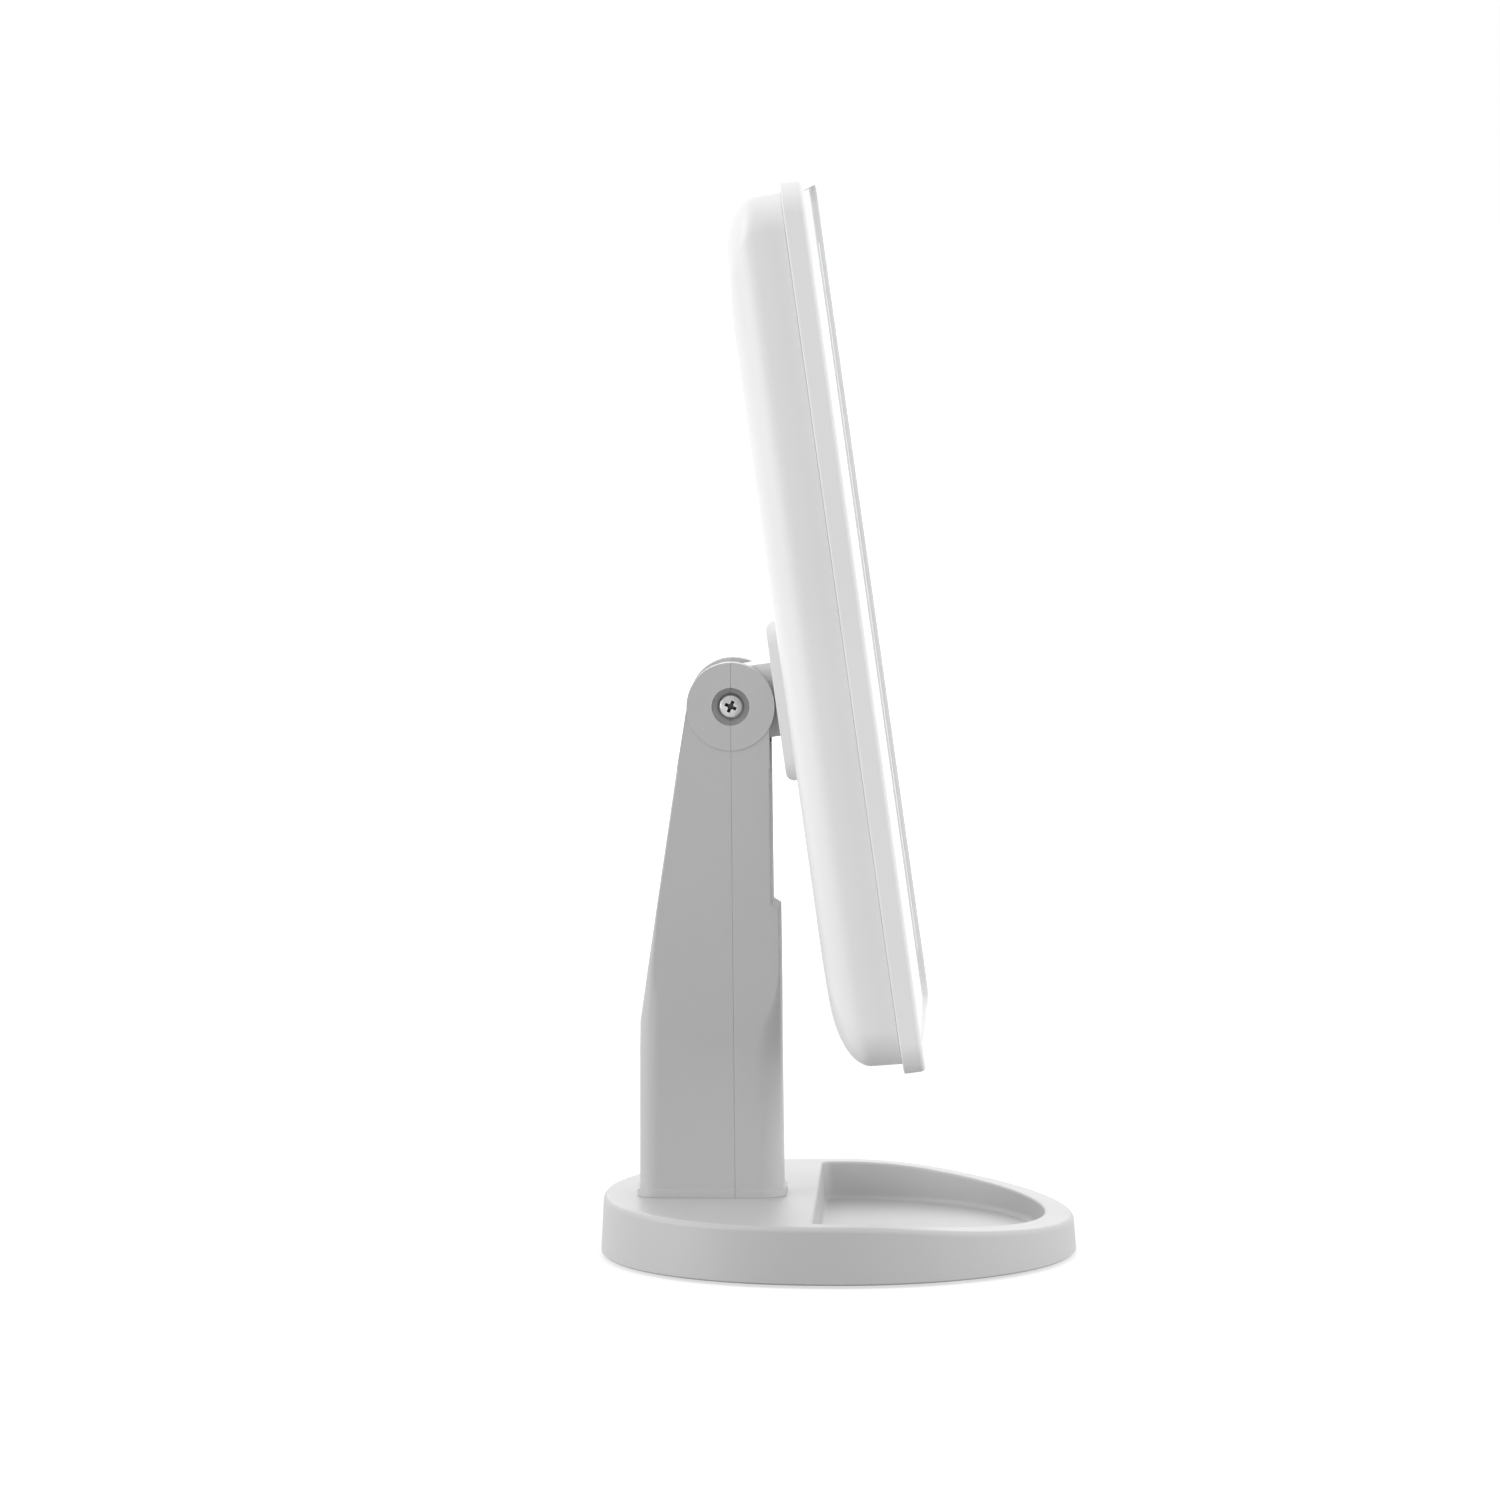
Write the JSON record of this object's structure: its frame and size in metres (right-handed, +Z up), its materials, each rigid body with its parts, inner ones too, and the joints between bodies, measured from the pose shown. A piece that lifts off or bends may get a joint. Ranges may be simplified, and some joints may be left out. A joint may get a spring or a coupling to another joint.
{
  "type": "table vanity mirror",
  "caption": "Table vanity mirror: deep lit head on a friction hinge, two-part column and an oval base with a shallow tray.",
  "frame": {"origin": "on the desk, under the middle of the oval base", "axes": "+Z up, +X towards the front (the side the mirror faces and the tray is on), Y across the width; the object is symmetric about the XZ plane apart from switch and socket on the back"},
  "size_m": [0.1234, 0.17, 0.279],
  "materials": {
    "stand_plastic": "satin moulded",
    "head_plastic": "fine satin moulded",
    "mirror": "silvered glass",
    "opal": "opal diffuser",
    "rubber": "matte",
    "steel": "zinc plated",
    "brass": "turned",
    "cell": "bare sleeve",
    "board": "solder mask",
    "board_white": "white solder mask",
    "led": "phosphor",
    "black_plastic": "satin",
    "friction_pad": "fibre",
    "lead": "pvc"
  },
  "bodies": {
    "stand": {"base_shell": "stand_plastic", "base_cover": "stand_plastic", "ballast_plate": "steel", "rubber_feet": "rubber", "base_cover_screws": "steel", "column_front_shell": "stand_plastic", "column_rear_shell": "stand_plastic", "column_screws": "steel", "foot_screws": "steel", "hinge_screw": "steel", "hinge_nut": "steel", "spring_washer": "steel", "friction_washers": "friction_pad"},
    "head": {"hinge_bracket": "head_plastic", "knuckle_bush": "brass", "bracket_screws": "steel", "rear_shell": "head_plastic", "front_bezel": "head_plastic", "mirror_glass": "mirror", "diffusers": "opal", "led_boards": "board_white", "leds": "led", "control_board": "board", "board_screws": "steel", "touch_spring": "brass", "battery_cells": "cell", "battery_contacts": "steel", "leads": "lead", "shell_screws": "steel", "switch_body": "black_plastic", "usb_socket": "steel"},
    "battery_door": {"battery_door": "head_plastic"},
    "switch_knob": {"switch_knob": "black_plastic"}
  },
  "joints": [
    {"name": "head_tilt", "type": "hinge", "parent": "stand", "child": "head", "pos_m": [-0.0278, 0, 0.1428], "axis": [0, -1, 0], "range_deg": [-8, 122]},
    {"name": "battery_door_tilt", "type": "hinge", "parent": "head", "child": "battery_door", "pos_m": [-0.0171, 0, 0.18167], "axis": [0, 1, 0], "range_deg": [-60, 0]},
    {"name": "switch_slide", "type": "slide", "parent": "head", "child": "switch_knob", "axis": [-0.1392, 0, 0.9903], "range_m": [0, 0.0025]}
  ]
}
